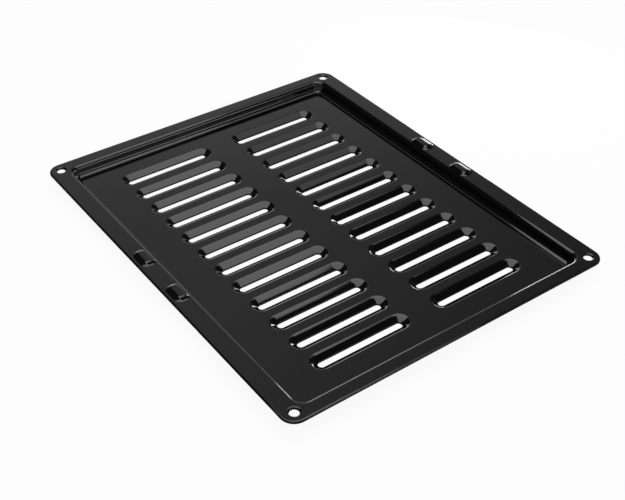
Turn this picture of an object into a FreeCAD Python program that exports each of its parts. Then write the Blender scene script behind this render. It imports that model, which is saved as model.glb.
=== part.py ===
import FreeCAD, Part
import math
import os

# Broiler pan: one steel sheet, stamped to shape, pierced, and coated with black porcelain enamel.
# It is a shallow tray whose floor is a grid of drawn slots, through which fat drips into the
# deeper pan that it is set over. X runs along the long sides, Y along the slots, and Z is up.
# The origin is under the middle of the pan, level with the lips of the slots that it stands on.
# All sizes are in millimetres.

# Sheet
pan_length = 387.5
pan_width = 318.0
sheet_thickness = 1.2
outer_corner_radius = 12.0
edge_bend_radius = 1.0

# Rim and well
end_rim_width = 10.4
side_rim_width = 14.6
rim_bend_radius = 3.1
well_depth = 9.6
wall_slope_deg = 80.0
floor_bend_radius = 4.5
floor_corner_radius = 3.0

# Slots in the floor, in two rows; slot_end_flats is how many flats stand for each half circle
slot_width = 6.2
slot_length = 80.7
slot_pitch = 26.6
slot_depth = 3.53
slot_slope_deg = 32.0
slot_bend_radius = 2.8
slot_end_flats = 8
row_gap = 24.7
end_land = 15.0

# Hole in each corner of the rim
hole_radius = 3.9
hole_end_inset = 10.2
hole_side_inset = 10.8
hole_depth = 1.3
hole_slope_deg = 50.0
hole_bend_radius = 0.6

# Locating bumps, two on each long side of the rim
bump_spacing = 53.4
bump_length = 23.3
bump_width = 14.0
bump_height = 2.5
bump_edge_inset = 2.3
bump_corner_radius = 5.5
bump_end_run = 3.6
bump_outer_run = 4.7
bump_inner_run = 3.4
bump_top_easing = 0.6

# Points nearer than this are the same point
same_point = 1e-6

UP = FreeCAD.Vector(0, 0, 1)


def at(x, y, z=0.0):
    return FreeCAD.Vector(x, y, z)


def line(start, end):
    return Part.LineSegment(start, end).toShape()


def arc(start, middle, end):
    return Part.Arc(start, middle, end).toShape()


def rounded_rectangle(half_x, half_y, radius, centre_x=0.0, centre_y=0.0, z=0.0):
    """Closed wire of a rectangle with round corners."""
    turns = []
    for sign_x, sign_y, start_deg in ((1, 1, 0), (-1, 1, 90), (-1, -1, 180), (1, -1, 270)):
        middle_x = centre_x + sign_x * (half_x - radius)
        middle_y = centre_y + sign_y * (half_y - radius)
        points = []
        for turn_deg in (0, 45, 90):
            angle = math.radians(start_deg + turn_deg)
            points.append(at(middle_x + radius * math.cos(angle), middle_y + radius * math.sin(angle), z))
        turns.append(points)
    edges = []
    for index, points in enumerate(turns):
        edges.append(line(turns[index - 1][-1], points[0]))
        edges.append(arc(*points))
    return Part.Wire(edges)


def plate(outline, holes, top_z):
    """Flat sheet inside an outline, with its upper face at top_z, less the holes."""
    face = Part.makeFace([outline] + holes, "Part::FaceMakerBullseye")
    face.translate(at(0, 0, top_z - sheet_thickness))
    return face.extrude(UP * sheet_thickness)


def arc_about(centre_x, centre_z, radius, from_deg, to_deg):
    """Arc in a section, with X along the sheet and angles measured from X towards Z."""
    points = []
    for angle_deg in (from_deg, (from_deg + to_deg) / 2, to_deg):
        angle = math.radians(angle_deg)
        points.append(at(centre_x + radius * math.cos(angle), 0, centre_z + radius * math.sin(angle)))
    return arc(*points)


def closed_section(edges):
    """Face inside edges given in order, with a straight line wherever two don't meet."""
    whole = []
    for index, edge in enumerate(edges):
        following = edges[(index + 1) % len(edges)]
        whole.append(edge)
        end = edge.valueAt(edge.LastParameter)
        start = following.valueAt(following.FirstParameter)
        if end.distanceToPoint(start) > same_point:
            whole.append(line(end, start))
    return Part.Face(Part.Wire(whole))


def lip_run(bend_radius, slope_deg, depth):
    """How far in a drawn lip reaches, from where the flat sheet starts to bend to its cut edge."""
    slope = math.radians(slope_deg)
    upper_radius = bend_radius + sheet_thickness
    straight_drop = depth - upper_radius * (1 - math.cos(slope))
    return upper_radius * math.sin(slope) + straight_drop / math.tan(slope)


def lip_edge_height(slope_deg):
    """Height of the upright edge that piercing leaves at the end of a sloping lip."""
    return sheet_thickness / math.cos(math.radians(slope_deg))


def lip_profile(bend_radius, slope_deg, depth):
    """Section of a lip drawn down round an opening, as (inset from the mouth, height) round its outline.

    From the flat sheet it turns over a bend, here one short flat, slopes down to an upright cut edge,
    and comes back along the underside.
    """
    half_slope = math.radians(slope_deg) / 2
    bend_length = 2 * (bend_radius + sheet_thickness) * math.sin(half_slope)
    crease = bend_radius * math.tan(half_slope)
    run = lip_run(bend_radius, slope_deg, depth)
    return [
        (0, 0),
        (bend_length * math.cos(half_slope), -bend_length * math.sin(half_slope)),
        (run, -depth),
        (run, -depth - lip_edge_height(slope_deg)),
        (crease, -sheet_thickness),
        (0, -sheet_thickness),
    ]


def wall_run():
    """How far in the well's wall reaches, from the flat rim to the flat floor."""
    slope = math.radians(wall_slope_deg)
    radii = rim_bend_radius + sheet_thickness + floor_bend_radius
    straight_drop = well_depth - radii * (1 - math.cos(slope))
    return radii * math.sin(slope) + straight_drop / math.tan(slope)


def wall_section():
    """Section of the well's wall: over the rim's bend, down the wall and round into the floor."""
    run = wall_run()
    rim_centre_z = -rim_bend_radius - sheet_thickness
    floor_centre_z = -well_depth + floor_bend_radius
    turned = 90 - wall_slope_deg
    edges = [
        arc_about(0, rim_centre_z, rim_bend_radius + sheet_thickness, 90, turned),
        arc_about(run, floor_centre_z, floor_bend_radius, 180 + turned, 270),
        arc_about(run, floor_centre_z, floor_bend_radius + sheet_thickness, 270, 180 + turned),
        arc_about(0, rim_centre_z, rim_bend_radius, turned, 90),
    ]
    return closed_section(edges)


def edge_reach():
    """Width of the turned-down outer edge, which is also its height."""
    return edge_bend_radius + sheet_thickness


def edge_section():
    """Section of the rim's outer edge, turned down through a quarter circle."""
    reach = edge_reach()
    edges = [
        arc_about(reach, -reach, edge_bend_radius, 90, 180),
        arc_about(reach, -reach, reach, 180, 90),
    ]
    return closed_section(edges)


def straight_piece(section, distance, length, turn_deg):
    """Carry a section along one straight side, at a distance from the middle."""
    side = section.copy()
    side.rotate(at(0, 0), UP, 180)
    side.translate(at(distance, -length / 2))
    side = side.extrude(at(0, length))
    side.rotate(at(0, 0), UP, turn_deg)
    return side


def turned_piece(section, radius, x, y, turn_deg, sweep_deg):
    """Carry a section round part of a circle, with the section's X pointing at its centre."""
    corner = section.copy()
    corner.rotate(at(0, 0), UP, 180)
    corner.translate(at(radius, 0))
    corner = corner.revolve(at(0, 0), UP, sweep_deg)
    corner.rotate(at(0, 0), UP, turn_deg)
    corner.translate(at(x, y))
    return corner


def ring(section, half_x, half_y, radius, top_z):
    """Carry a section round a rounded rectangle."""
    middle_x = half_x - radius
    middle_y = half_y - radius
    pieces = []
    for turn_deg, distance, length in ((0, half_x, 2 * middle_y), (90, half_y, 2 * middle_x),
                                       (180, half_x, 2 * middle_y), (270, half_y, 2 * middle_x)):
        pieces.append(straight_piece(section, distance, length, turn_deg))
    for turn_deg, sign_x, sign_y in ((0, 1, 1), (90, -1, 1), (180, -1, -1), (270, 1, -1)):
        pieces.append(turned_piece(section, radius, sign_x * middle_x, sign_y * middle_y, turn_deg, 90))
    whole = pieces[0].fuse(pieces[1:])
    whole.translate(at(0, 0, top_z))
    return whole


# Places that the sizes above fix
slot_run = lip_run(slot_bend_radius, slot_slope_deg, slot_depth)
hole_run = lip_run(hole_bend_radius, hole_slope_deg, hole_depth)
floor_z = slot_depth + lip_edge_height(slot_slope_deg)
rim_z = floor_z + well_depth
rim_half_x = pan_length / 2 - end_rim_width
rim_half_y = pan_width / 2 - side_rim_width
rim_corner_radius = floor_corner_radius + wall_run()
floor_half_x = rim_half_x - wall_run()
floor_half_y = rim_half_y - wall_run()
trough_half_x = slot_width / 2 + slot_run
trough_half_y = slot_length / 2 + slot_run


def slot_centres():
    """Centres of the slots: as many in a row as leave the land at both ends, and two rows."""
    room = 2 * (floor_half_x - end_land - trough_half_x)
    count = int(room / slot_pitch) + 1
    row_y = row_gap / 2 + trough_half_y
    centres = []
    for index in range(count):
        x = (index - (count - 1) / 2) * slot_pitch
        centres.append((x, -row_y))
        centres.append((x, row_y))
    return centres


def hole_centres():
    x = pan_length / 2 - hole_end_inset
    y = pan_width / 2 - hole_side_inset
    return [(-x, -y), (x, -y), (-x, y), (x, y)]


def slot_outline(inset, z):
    """Points round a slot's trough, drawn in from its mouth. Its round ends turn in short flats."""
    radius = trough_half_x - inset
    middle_y = trough_half_y - trough_half_x
    points = []
    for side in (1, -1):
        for step in range(slot_end_flats + 1):
            angle = math.pi * step / slot_end_flats
            points.append(at(side * radius * math.cos(angle), side * (middle_y + radius * math.sin(angle)), z))
    return points


def slot_lip():
    """Lip of one slot: a band of flats from each corner of its section to the next."""
    rings = [slot_outline(inset, z) for inset, z in lip_profile(slot_bend_radius, slot_slope_deg, slot_depth)]
    faces = []
    for index, ring_points in enumerate(rings):
        following = rings[(index + 1) % len(rings)]
        for place, point in enumerate(ring_points):
            after = (place + 1) % len(ring_points)
            corners = [point, ring_points[after], following[after], following[place], point]
            faces.append(Part.Face(Part.makePolygon(corners)))
    return Part.Solid(Part.Shell(faces))


def hole_lip():
    """Lip of one corner hole: its section turned about the hole's axis."""
    points = [at(inset, 0, z) for inset, z in lip_profile(hole_bend_radius, hole_slope_deg, hole_depth)]
    section = Part.Face(Part.makePolygon(points + points[:1]))
    return turned_piece(section, hole_radius + hole_run, 0, 0, 0, 360)


def copies(shape, centres, z=0.0):
    placed = []
    for x, y in centres:
        copy = shape.copy()
        copy.translate(at(x, y, z))
        placed.append(copy)
    return placed


def rim():
    """The flat rim, with its outer edge turned down and a drawn hole in each corner."""
    reach = edge_reach()
    outline = rounded_rectangle(pan_length / 2 - reach, pan_width / 2 - reach, outer_corner_radius - reach)
    well = rounded_rectangle(rim_half_x, rim_half_y, rim_corner_radius)
    mouth = Part.Wire(Part.makeCircle(hole_radius + hole_run))
    flat = plate(outline, [well] + copies(mouth, hole_centres()), rim_z)
    edge = ring(edge_section(), pan_length / 2, pan_width / 2, outer_corner_radius, rim_z)
    return [flat, edge] + copies(hole_lip(), hole_centres(), rim_z)


def floor():
    """The flat floor of the well, with a lip drawn down round every slot."""
    outline = rounded_rectangle(floor_half_x, floor_half_y, floor_corner_radius)
    points = slot_outline(0, 0)
    mouth = Part.makePolygon(points + points[:1])
    flat = plate(outline, copies(mouth, slot_centres()), floor_z)
    return [flat] + copies(slot_lip(), slot_centres(), floor_z)


def bump_outline(rise, inset):
    """Outline of a bump on the side of the rim at +Y, at a share of its height, drawn in by an inset."""
    outer_y = pan_width / 2 - bump_edge_inset
    high_y = outer_y - bump_outer_run * rise - inset
    low_y = outer_y - bump_width + bump_inner_run * rise + inset
    half_x = bump_length / 2 - bump_end_run * rise - inset
    half_y = (high_y - low_y) / 2
    radius = bump_corner_radius * 2 * half_y / bump_width
    return rounded_rectangle(half_x, half_y, radius, 0, (high_y + low_y) / 2, bump_height * rise)


def bump_form():
    """Solid form of one bump: upright through the sheet, sloping sides above it, and an eased top edge."""
    foot = bump_outline(0, 0)
    root = foot.copy()
    root.translate(at(0, 0, -sheet_thickness))
    shoulder = bump_outline(1 - bump_top_easing / bump_height, 0)
    return Part.makeLoft([root, foot, shoulder, bump_outline(1, bump_top_easing)], True, True)


def with_bumps(sheet):
    """Press four bumps up out of the rim, hollow underneath, without thinning the sheet."""
    form = bump_form()
    raised = []
    pressed = []
    for turn_deg in (0, 180):
        for side in (-1, 1):
            copy = form.copy()
            copy.translate(at(side * bump_spacing / 2, 0, rim_z))
            copy.rotate(at(0, 0), UP, turn_deg)
            raised.append(copy)
            below = copy.copy()
            below.translate(at(0, 0, -sheet_thickness))
            pressed.append(below)
    return sheet.fuse(raised).cut(pressed)


def broiler_pan():
    wall = ring(wall_section(), rim_half_x, rim_half_y, rim_corner_radius, rim_z)
    sheet = wall.fuse(rim() + floor())
    return with_bumps(sheet).removeSplitter()


os.makedirs("parts", exist_ok=True)
pan = broiler_pan()
solid = pan.Solids[0]
solid.exportStep("parts/broiler_pan.step")
box = solid.BoundBox
print("solids", len(pan.Solids), "valid", solid.isValid(), "volume", round(solid.Volume, 1))
print("box", round(box.XLength, 2), round(box.YLength, 2), round(box.ZMin, 3), round(box.ZMax, 3))
print("slots", len(slot_centres()), "faces", len(solid.Faces))
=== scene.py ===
import math

import bmesh
import bpy
from mathutils import Matrix, Vector


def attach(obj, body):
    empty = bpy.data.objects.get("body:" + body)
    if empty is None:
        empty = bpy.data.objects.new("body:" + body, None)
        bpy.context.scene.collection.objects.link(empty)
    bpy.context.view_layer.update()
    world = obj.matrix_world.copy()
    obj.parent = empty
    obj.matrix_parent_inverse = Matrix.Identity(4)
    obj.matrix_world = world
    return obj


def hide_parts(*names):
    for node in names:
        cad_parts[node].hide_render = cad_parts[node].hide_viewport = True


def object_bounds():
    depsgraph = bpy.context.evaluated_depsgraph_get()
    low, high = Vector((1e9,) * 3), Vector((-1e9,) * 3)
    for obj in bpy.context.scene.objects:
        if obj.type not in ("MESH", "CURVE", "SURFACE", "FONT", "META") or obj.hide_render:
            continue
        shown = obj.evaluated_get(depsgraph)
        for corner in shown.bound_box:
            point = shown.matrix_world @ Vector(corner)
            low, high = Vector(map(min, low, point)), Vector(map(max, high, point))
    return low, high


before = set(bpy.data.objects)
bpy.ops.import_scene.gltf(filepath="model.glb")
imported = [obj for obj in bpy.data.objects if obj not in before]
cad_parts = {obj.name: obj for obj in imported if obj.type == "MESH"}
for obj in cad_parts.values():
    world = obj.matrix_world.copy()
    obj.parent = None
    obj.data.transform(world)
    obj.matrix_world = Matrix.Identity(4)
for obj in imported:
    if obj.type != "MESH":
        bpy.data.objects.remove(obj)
cad_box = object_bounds()
scene = bpy.context.scene
scene.view_settings.view_transform = "Standard"

# Viewpoint. The pan is seen from above the corner between its +X end and its -Y long side, with that
# long side at the lower left of the picture. Left, right, front and behind are as seen from here, and
# lengths are in metres.
MM = 0.001
camera_place = Vector((606.37, -445.40, 565.45)) * MM
camera_aim = Vector((44.32, -31.08, 14.54)) * MM
camera_roll_deg = 0.525
camera_lens = 61.94
camera_sensor = 36.0
nearest_seen = 20 * MM

eye = bpy.data.cameras.new("viewpoint")
eye.lens = camera_lens
eye.sensor_width = camera_sensor
eye.clip_start = nearest_seen
eye_object = bpy.data.objects.new("viewpoint", eye)
scene.collection.objects.link(eye_object)
look = (camera_aim - camera_place).to_track_quat("-Z", "Y").to_matrix().to_4x4()
roll = Matrix.Rotation(math.radians(camera_roll_deg), 4, "Z")
eye_object.matrix_world = Matrix.Translation(camera_place) @ look @ roll
scene.camera = eye_object


# Enamelled pan: one sheet of steel, drawn and pierced in a press and then coated all over with black
# porcelain enamel. The coat is thick enough to round every cut edge, and it leaves no bare metal.
sheet = 1.2 * MM
pan_half_length, pan_half_width = cad_box[1][0], cad_box[1][1]
rim_level = 14.545 * MM
floor_level = 4.945 * MM

# A bend is made of flats that turn no further than this, a quarter circle in plan has this many steps,
# and points that are closer than a thousandth of a millimetre count as one.
flat_turn_deg = 6.0
corner_steps = 12
same_place = 0.001 * MM


def rounded_path(corners, radii):
    """Points of a bent strip's section: straight runs between corners, each corner turned by an arc."""
    points = [Vector(corners[0])]
    for before, corner, after, radius in zip(corners, corners[1:], corners[2:], radii):
        corner = Vector(corner)
        back = (Vector(before) - corner).normalized()
        ahead = (Vector(after) - corner).normalized()
        turn = math.pi - back.angle(ahead)
        reach = radius * math.tan(turn / 2)
        centre = corner + (back + ahead).normalized() * radius / math.cos(turn / 2)
        start = corner + back * reach - centre
        sign = 1 if back.x * ahead.y - back.y * ahead.x < 0 else -1
        steps = max(2, math.ceil(math.degrees(turn) / flat_turn_deg))
        for step in range(steps + 1):
            points.append(centre + Matrix.Rotation(sign * turn * step / steps, 2) @ start)
    points.append(Vector(corners[-1]))
    kept = points[:1]
    for point in points[1:]:
        if (point - kept[-1]).length > same_place:
            kept.append(point)
    return kept


def outline(mesh, core, radius, level, stops):
    """Closed loop at one level, a radius away from its core, with extra points on its long sides."""
    ends = []
    for sign_x, sign_y in ((1, 1), (-1, 1), (-1, -1), (1, -1)):
        middle = Vector((sign_x * core[0], sign_y * core[1], level))
        away = Vector((sign_x * radius, 0, 0)) if sign_x == sign_y else Vector((0, sign_y * radius, 0))
        first = mesh.verts.new(middle + away)
        turned = bmesh.ops.spin(mesh, geom=[first], cent=middle, axis=(0, 0, 1),
                                angle=math.pi / 2, steps=corner_steps)
        ends.append((first, turned["geom_last"][0]))
    for index, (first, _) in enumerate(ends):
        before = ends[index - 1][1]
        chain = [before]
        if index in (1, 3):
            chain += [mesh.verts.new((x, before.co.y, level)) for x in sorted(stops, reverse=index == 1)]
        chain.append(first)
        for one, other in zip(chain, chain[1:]):
            mesh.edges.new((one, other))
    bmesh.ops.remove_doubles(mesh, verts=mesh.verts, dist=same_place)


def nearest_core(point, core):
    """Nearest point, in plan, of the straight core that a rounded outline is drawn round."""
    return Vector((min(max(point.x, -core[0]), core[0]), min(max(point.y, -core[1]), core[1]), 0))


def drawn_band(core, radius, section, stops=()):
    """Closed ring of sheet about the origin: an outline carried along a section's (inset, rise) steps."""
    mesh = bmesh.new()
    outline(mesh, core, radius - section[0][0], section[0][1], stops)
    edges = mesh.edges[:]
    for inset, rise in section[1:]:
        edges, points = extruded(mesh, edges)
        for point in points:
            middle = nearest_core(point.co, core)
            away = Vector((point.co.x, point.co.y, 0)) - middle
            point.co = middle + away.normalized() * (radius - inset)
            point.co.z = rise
    return mesh


def extruded(mesh, edges):
    """Extrude a run of edges in place, and give the new edges and their points."""
    made = bmesh.ops.extrude_edge_only(mesh, edges=edges)["geom"]
    points = [item for item in made if isinstance(item, bmesh.types.BMVert)]
    fresh = set(points)
    edges = [item for item in made if isinstance(item, bmesh.types.BMEdge) and fresh.issuperset(item.verts)]
    return edges, points


def set_in(band, places, level):
    """Put a copy of a band into the pan at each place."""
    copy = bpy.data.meshes.new("band")
    for x, y in places:
        band.to_mesh(copy)
        copy.transform(Matrix.Translation((x, y, level)))
        pan_mesh.from_mesh(copy)
    bpy.data.meshes.remove(copy)
    band.free()


def fill_level(mesh, level):
    """Close the flat part of the sheet that lies at one level, round whatever openings it has."""
    edges = []
    for edge in mesh.edges:
        if edge.is_boundary and all(abs(v.co.z - level) < same_place for v in edge.verts):
            edges.append(edge)
    made = bmesh.ops.triangle_fill(mesh, edges=edges, use_beauty=True, use_dissolve=False)
    for item in made["geom"]:
        if isinstance(item, bmesh.types.BMFace):
            item.smooth = False
            flat_faces.add(item)


pan_mesh = bmesh.new()
flat_faces = set()

# Drip slots: two rows of twelve, each pierced at the bottom of a drawn trough. The sheet turns down
# over a soft bend, slopes to the slot, and shows its rounded, enamelled cut edge all round it.
slot_width = 6.2 * MM
slot_length = 80.7 * MM
slot_pitch = 26.6 * MM
slots_in_row = 12
slot_depth = 3.53 * MM
slot_slope = math.radians(32.0)
slot_bend = 2.8 * MM
cut_edge_round = 0.7 * MM
burr_edge_round = 0.12 * MM
row_gap = 24.7 * MM


def lip_section(bend, slope, depth):
    """(inset, rise) round a lip, from the flat sheet's top, over the cut edge, to its underside."""
    outer_bend = bend + sheet
    run = outer_bend * math.sin(slope) + (depth - outer_bend * (1 - math.cos(slope))) / math.tan(slope)
    cut_height = sheet / math.cos(slope)
    corners = [
        (0, 0),
        (outer_bend * math.tan(slope / 2), 0),
        (run, -depth),
        (run, -depth - cut_height),
        (bend * math.tan(slope / 2), -sheet),
        (0, -sheet),
    ]
    return run, rounded_path(corners, (outer_bend, cut_edge_round, burr_edge_round, bend))


slot_run, slot_section = lip_section(slot_bend, slot_slope, slot_depth)
row_place = row_gap / 2 + slot_length / 2 + slot_run
slot_places = []
for row in (-1, 1):
    for number in range(slots_in_row):
        slot_places.append(((number - (slots_in_row - 1) / 2) * slot_pitch, row * row_place))
slot_core = (0, slot_length / 2 - slot_width / 2)
set_in(drawn_band(slot_core, slot_width / 2 + slot_run, slot_section), slot_places, floor_level)

# Well and rim. The wall falls steeply from the flat rim to the floor through two soft bends, and the
# rim's outer edge is turned down all round, so that the sheet's raw edge faces the table.
end_rim_width = 10.4 * MM
side_rim_width = 14.6 * MM
rim_bend = 3.1 * MM
well_depth = rim_level - floor_level
wall_slope = math.radians(80.0)
floor_bend = 4.5 * MM
floor_corner = 3.0 * MM
outer_corner = 12.0 * MM
edge_height = 2.2 * MM
edge_round = 1.1 * MM
edge_inner_round = 0.2 * MM
raw_edge_round = 0.35 * MM

wall_radii = rim_bend + sheet + floor_bend
wall_run = wall_radii * math.sin(wall_slope)
wall_run += (well_depth - wall_radii * (1 - math.cos(wall_slope))) / math.tan(wall_slope)
half_turn_tangent = math.tan(wall_slope / 2)
well_radius = floor_corner + wall_run
well_core = (pan_half_length - end_rim_width - well_radius, pan_half_width - side_rim_width - well_radius)
well_side = pan_half_width - side_rim_width

# Where a bump rises later, the rim is a patch of small squares that starts at the well and stops just
# short of the turned-down edge.
bump_spacing = 53.4 * MM
patch_grid = 0.6 * MM
patch_half_length = 15.0 * MM
patch_margin = 0.1 * MM
patch_columns = round(2 * patch_half_length / patch_grid)
patch_rows = math.floor((side_rim_width - edge_height - patch_margin) / patch_grid)
longest_patch_edge = 1.5 * patch_grid
patch_stops = []
for side in (-1, 1):
    patch_start = side * bump_spacing / 2 - patch_half_length
    patch_stops += [patch_start + step * patch_grid for step in range(patch_columns + 1)]

# The wall's upper face is made first, and then its lower face, one sheet's thickness below.
for drop, upper, lower in ((0, rim_bend + sheet, floor_bend), (sheet, rim_bend, floor_bend + sheet)):
    corners = [
        (0, -drop),
        (upper * half_turn_tangent, -drop),
        (wall_run - lower * half_turn_tangent, -drop - well_depth),
        (wall_run, -drop - well_depth),
    ]
    wall = drawn_band(well_core, well_radius, rounded_path(corners, (upper, lower)), patch_stops)
    for side in (-1, 1):
        row_edges = []
        for edge in wall.edges:
            off_row = max(abs(v.co.y - side * well_side) + abs(v.co.z + drop) for v in edge.verts)
            if edge.is_boundary and off_row < same_place and edge.calc_length() < longest_patch_edge:
                row_edges.append(edge)
        for _ in range(patch_rows):
            row_edges, points = extruded(wall, row_edges)
            bmesh.ops.translate(wall, vec=(0, side * patch_grid, 0), verts=points)
    set_in(wall, [(0, 0)], rim_level)

# The turned-down edge, and as much of the flat rim beside it as the edge is high.
edge_corners = [
    (0, 0),
    (-edge_height, 0),
    (-edge_height, -edge_height),
    (-edge_height + sheet, -edge_height),
    (-edge_height + sheet, -sheet),
    (0, -sheet),
]
edge_section = rounded_path(edge_corners, (edge_round, raw_edge_round, raw_edge_round, edge_inner_round))
edge_core = (pan_half_length - outer_corner, pan_half_width - outer_corner)
set_in(drawn_band(edge_core, outer_corner - edge_height, edge_section), [(0, 0)], rim_level)

# Corner holes: one in each corner of the rim, pierced in a shallow drawn dish that stiffens it.
hole_radius = 3.9 * MM
hole_end_inset = 10.2 * MM
hole_side_inset = 10.8 * MM
dish_bend = 0.6 * MM
dish_slope = math.radians(38.0)
dish_depth = 0.7 * MM
hole_run, hole_section = lip_section(dish_bend, dish_slope, dish_depth)
hole_x = pan_half_length - hole_end_inset
hole_y = pan_half_width - hole_side_inset
hole_places = [(-hole_x, -hole_y), (hole_x, -hole_y), (-hole_x, hole_y), (hole_x, hole_y)]
set_in(drawn_band((0, 0), hole_radius + hole_run, hole_section), hole_places, rim_level)

# Locating bumps: two on each long side, pressed up out of the rim where it meets the well, hollow
# underneath. They slope gently towards the outer edge and more steeply towards the well.
bump_length = 23.3 * MM
bump_width = 14.0 * MM
bump_edge_inset = 2.3 * MM
bump_outer_place = pan_half_width - bump_edge_inset
bump_inner_place = bump_outer_place - bump_width
bump_height = 2.5 * MM
bump_end_run = 4.2 * MM
bump_outer_run = 5.4 * MM
bump_inner_run = 3.9 * MM

# Shares of a slope's run: how far in from its foot a bump's corners are rounded in plan, and how long
# the curve at its foot and at its shoulder is.
bump_corner_ease = 1.4
bump_ease = 0.3


def bump_rise(x, y):
    """Height of a bump over the rim at a place: a slope that is eased at its foot and its shoulder."""
    along = (bump_length / 2 - abs(abs(x) - bump_spacing / 2)) / bump_end_run
    across = min((bump_outer_place - abs(y)) / bump_outer_run, (abs(y) - bump_inner_place) / bump_inner_run)
    short_along = max(0, bump_corner_ease - along)
    short_across = max(0, bump_corner_ease - across)
    climbed = bump_corner_ease - math.hypot(short_along, short_across)
    climbed = min(max(climbed, 0), 1)
    near_end = min(climbed, 1 - climbed)
    if near_end < bump_ease:
        share = near_end * near_end / (2 * bump_ease * (1 - bump_ease))
    else:
        share = (near_end - bump_ease / 2) / (1 - bump_ease)
    return bump_height * (share if climbed < 0.5 else 1 - share)


for level in (floor_level, floor_level - sheet, rim_level, rim_level - sheet):
    fill_level(pan_mesh, level)

# Both faces of the rim rise together, and the floor stays as it is.
for point in pan_mesh.verts:
    if point.co.z > floor_level + sheet:
        point.co.z += bump_rise(point.co.x, point.co.y)

for face in pan_mesh.faces:
    face.smooth = face not in flat_faces
bmesh.ops.recalc_face_normals(pan_mesh, faces=pan_mesh.faces)

pan_data = bpy.data.meshes.new("enamelled_pan")
pan_mesh.to_mesh(pan_data)
pan_mesh.free()
pan = bpy.data.objects.new("enamelled_pan", pan_data)
scene.collection.objects.link(pan)
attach(pan, "root")
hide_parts("broiler_pan")


# Finish: porcelain enamel, a glass coat fired on at about 800 degrees. It is deep black with a wet
# gloss, and its surface is very slightly uneven, like orange peel.
peel_width = 3.333 * MM
peel_height = 0.02 * MM


def linear(hex_code):
    """An sRGB hex colour as the linear one that a shader takes."""
    parts = [int(hex_code[i:i + 2], 16) / 255 for i in (1, 3, 5)]
    return [c / 12.92 if c <= 0.04045 else ((c + 0.055) / 1.055) ** 2.4 for c in parts] + [1.0]


def add_node(tree, kind, settings=None, links=None):
    """Add a node, with its properties and socket values set and its inputs linked."""
    node = tree.nodes.new(kind)
    for name, value in (settings or {}).items():
        if isinstance(name, str) and hasattr(node, name):
            setattr(node, name, value)
        else:
            node.inputs[name].default_value = value
    for name, source in (links or {}).items():
        tree.links.new(source, node.inputs[name])
    return node


enamel = bpy.data.materials.new("black_porcelain_enamel")
enamel.use_nodes = True
tree = enamel.node_tree
tree.nodes.clear()
coordinates = add_node(tree, "ShaderNodeTexCoord")
peel = add_node(tree, "ShaderNodeTexNoise", {"Scale": 1 / peel_width, "Detail": 2.0},
                {"Vector": coordinates.outputs["Object"]})
bump = add_node(tree, "ShaderNodeBump", {"Strength": 0.05, "Distance": peel_height},
                {"Height": peel.outputs["Fac"]})
gloss = add_node(tree, "ShaderNodeBsdfPrincipled",
                 {"Base Color": linear("#060607"), "Roughness": 0.06, "IOR": 1.5},
                 {"Normal": bump.outputs["Normal"]})
add_node(tree, "ShaderNodeOutputMaterial", {}, {"Surface": gloss.outputs["BSDF"]})
pan.data.materials.append(enamel)


# Table and studio. The pan stands on a plain white table under a wide overhead softbox, with a narrow
# softbox behind that one, a small lamp just behind the pan, a softbox at the right, and walls all round.
table_half = 6.0
table_mesh = bmesh.new()
bmesh.ops.create_grid(table_mesh, x_segments=1, y_segments=1, size=table_half)
table_data = bpy.data.meshes.new("table_top")
table_mesh.to_mesh(table_data)
table_mesh.free()
table = bpy.data.objects.new("table_top", table_data)
scene.collection.objects.link(table)

# Smooth white paper. To the eye it is lit up to plain white, with a little of the pan's soft shadow left
# on it. The enamel mirrors it as evenly grey paper instead, a painted shade for paper that lies in the
# shade.
lit_share = 0.93
white_table = bpy.data.materials.new("white_table_paper")
white_table.use_nodes = True
tree = white_table.node_tree
tree.nodes.clear()
path = add_node(tree, "ShaderNodeLightPath")
paper = add_node(tree, "ShaderNodeBsdfDiffuse", {"Color": linear("#f4f4f4")})
glow = add_node(tree, "ShaderNodeEmission", {"Color": linear("#ffffff"), "Strength": 1.0})
bright = add_node(tree, "ShaderNodeMixShader", {0: lit_share}, {1: paper.outputs[0], 2: glow.outputs[0]})
# Painted shade: the grey that the enamel mirrors in place of the white paper.
painted_shade_paper = add_node(tree, "ShaderNodeBsdfDiffuse", {"Color": linear("#4a4a4a")})
both = add_node(tree, "ShaderNodeMixShader", {},
                {0: path.outputs["Is Camera Ray"], 1: painted_shade_paper.outputs[0], 2: bright.outputs[0]})
add_node(tree, "ShaderNodeOutputMaterial", {}, {"Surface": both.outputs[0]})
table.data.materials.append(white_table)

# The walls: plain white to the eye. The enamel mirrors a wall behind the pan, which is brightest along
# its foot, ends at the left and fades out to the right, and a white wall in front, with dark gaps between.

# Bearings are in degrees from the pan's +X end towards its +Y side. A wall's end is the pair of turns
# towards a bearing between which it starts. Its greys are pairs of a height, as the sine of the angle
# above the table, and a level. The foot's fade has the turn towards the left in place of the height.
behind_deg = 78.0
left_deg = 200.0
front_deg = -2.5
wall_end = {"From Min": -0.07, "From Max": 0.14}
wall_fade = {"From Min": 0.06, "From Max": 0.64}
front_end = {"From Min": -0.13, "From Max": 0.1}
wall_greys = ((0.0, 0.0), (0.26, 0.0), (0.42, 0.16), (0.48, 0.15), (0.58, 0.103), (1.0, 0.103))
foot_fade = ((0.0, 0.0), (0.25, 0.28), (0.6, 0.3), (0.67, 0.9), (1.0, 1.0))
foot_greys = ((0.0, 1.0), (0.12, 1.0), (0.26, 0.3), (0.42, 0.0), (1.0, 0.0))
front_greys = ((0.0, 0.2), (0.3, 0.2), (0.5, 0.0), (1.0, 0.0))
brightest_wall = 4.0
gap_light = 0.05


def set_greys(ramp, levels):
    """Give a colour ramp its greys, as pairs of a position and a level, and return its output."""
    greys = ramp.color_ramp.elements
    for position, _ in levels[1:-1]:
        greys.new(position)
    for grey, (_, level) in zip(greys, levels):
        grey.color = (level, level, level, 1.0)
    return ramp.outputs["Color"]


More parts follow.
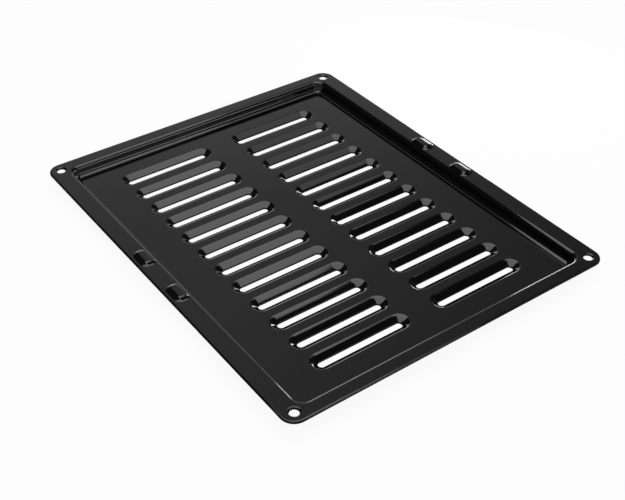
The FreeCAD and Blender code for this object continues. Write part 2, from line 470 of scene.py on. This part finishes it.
def turned_towards(degrees):
    """How far a direction turns towards a bearing: 1 along it, 0 square to it and -1 against it."""
    turn = math.radians(degrees)
    along = {"operation": "DOT_PRODUCT", 1: (math.cos(turn), math.sin(turn), 0.0)}
    return add_node(tree, "ShaderNodeVectorMath", along, {0: bearing.outputs[0]}).outputs["Value"]


world = bpy.data.worlds.new("studio")
scene.world = world
world.use_nodes = True
tree = world.node_tree
tree.nodes.clear()
way = add_node(tree, "ShaderNodeTexCoord").outputs["Generated"]
height = add_node(tree, "ShaderNodeSeparateXYZ", {}, {0: way}).outputs["Z"]
level_way = add_node(tree, "ShaderNodeVectorMath", {"operation": "MULTIPLY", 1: (1.0, 1.0, 0.0)}, {0: way})
bearing = add_node(tree, "ShaderNodeVectorMath", {"operation": "NORMALIZE"}, {0: level_way.outputs[0]})
to_left = turned_towards(left_deg)

end_share = add_node(tree, "ShaderNodeMapRange", wall_end, {0: turned_towards(behind_deg)})
fade_share = add_node(tree, "ShaderNodeMapRange", wall_fade, {0: to_left})
wall_grey = set_greys(add_node(tree, "ShaderNodeValToRGB", {}, {"Fac": height}), wall_greys)
upper_wall = add_node(tree, "ShaderNodeMath", {"operation": "MULTIPLY"},
                      {0: fade_share.outputs[0], 1: wall_grey})
foot_share = set_greys(add_node(tree, "ShaderNodeValToRGB", {}, {"Fac": to_left}), foot_fade)
foot_grey = set_greys(add_node(tree, "ShaderNodeValToRGB", {}, {"Fac": height}), foot_greys)
wall_foot = add_node(tree, "ShaderNodeMath", {"operation": "MULTIPLY"}, {0: foot_share, 1: foot_grey})
whole_wall = add_node(tree, "ShaderNodeMath", {"operation": "ADD"},
                      {0: upper_wall.outputs[0], 1: wall_foot.outputs[0]})
rear_wall = add_node(tree, "ShaderNodeMath", {"operation": "MULTIPLY"},
                     {0: whole_wall.outputs[0], 1: end_share.outputs[0]})

front_share = add_node(tree, "ShaderNodeMapRange", front_end, {0: turned_towards(front_deg)})
front_grey = set_greys(add_node(tree, "ShaderNodeValToRGB", {}, {"Fac": height}), front_greys)
front_wall = add_node(tree, "ShaderNodeMath", {"operation": "MULTIPLY"},
                      {0: front_share.outputs[0], 1: front_grey})
both_walls = add_node(tree, "ShaderNodeMath", {"operation": "ADD"},
                      {0: rear_wall.outputs[0], 1: front_wall.outputs[0]})
wall_light = add_node(tree, "ShaderNodeMath", {"operation": "MULTIPLY_ADD", 1: brightest_wall, 2: gap_light},
                      {0: both_walls.outputs[0]})

mirrored = add_node(tree, "ShaderNodeBackground", {"Color": linear("#ffffff")},
                    {"Strength": wall_light.outputs[0]})
white = add_node(tree, "ShaderNodeBackground", {"Color": linear("#ffffff"), "Strength": 1.0})
path = add_node(tree, "ShaderNodeLightPath")
shown = add_node(tree, "ShaderNodeMixShader", {},
                 {0: path.outputs["Is Camera Ray"], 1: mirrored.outputs[0], 2: white.outputs[0]})
add_node(tree, "ShaderNodeOutputWorld", {}, {"Surface": shown.outputs[0]})


def softbox(name, place, aim, width, depth, radiance):
    """A softbox that faces its aim, equally bright all over its front, and isn't itself in the picture."""
    light = bpy.data.lights.new(name, "AREA")
    light.shape = "RECTANGLE"
    light.size = width
    light.size_y = depth
    light.energy = radiance * math.pi * width * depth
    lamp = bpy.data.objects.new(name, light)
    lamp.visible_camera = False
    scene.collection.objects.link(lamp)
    facing = (aim - place).to_track_quat("-Z", "Y").to_matrix().to_4x4()
    lamp.matrix_world = Matrix.Translation(place) @ facing


softbox("overhead_softbox", place=Vector((-0.10, -0.02, 1.5)), aim=Vector((-0.10, -0.02, 0)),
        width=1.48, depth=1.56, radiance=2.5)
softbox("rear_lamp", place=Vector((-0.178, 0.393, 0.075)), aim=Vector((0, 0.152, 0.017)),
        width=0.11, depth=0.09, radiance=9.0)
softbox("rear_softbox", place=Vector((-0.22, 0.90, 1.5)), aim=Vector((-0.22, 0.90, 0)),
        width=1.22, depth=0.26, radiance=1.1)
softbox("side_softbox", place=Vector((1.66, 0.76, 0.82)), aim=Vector((0, 0, 0)),
        width=0.6, depth=0.5, radiance=2.5)
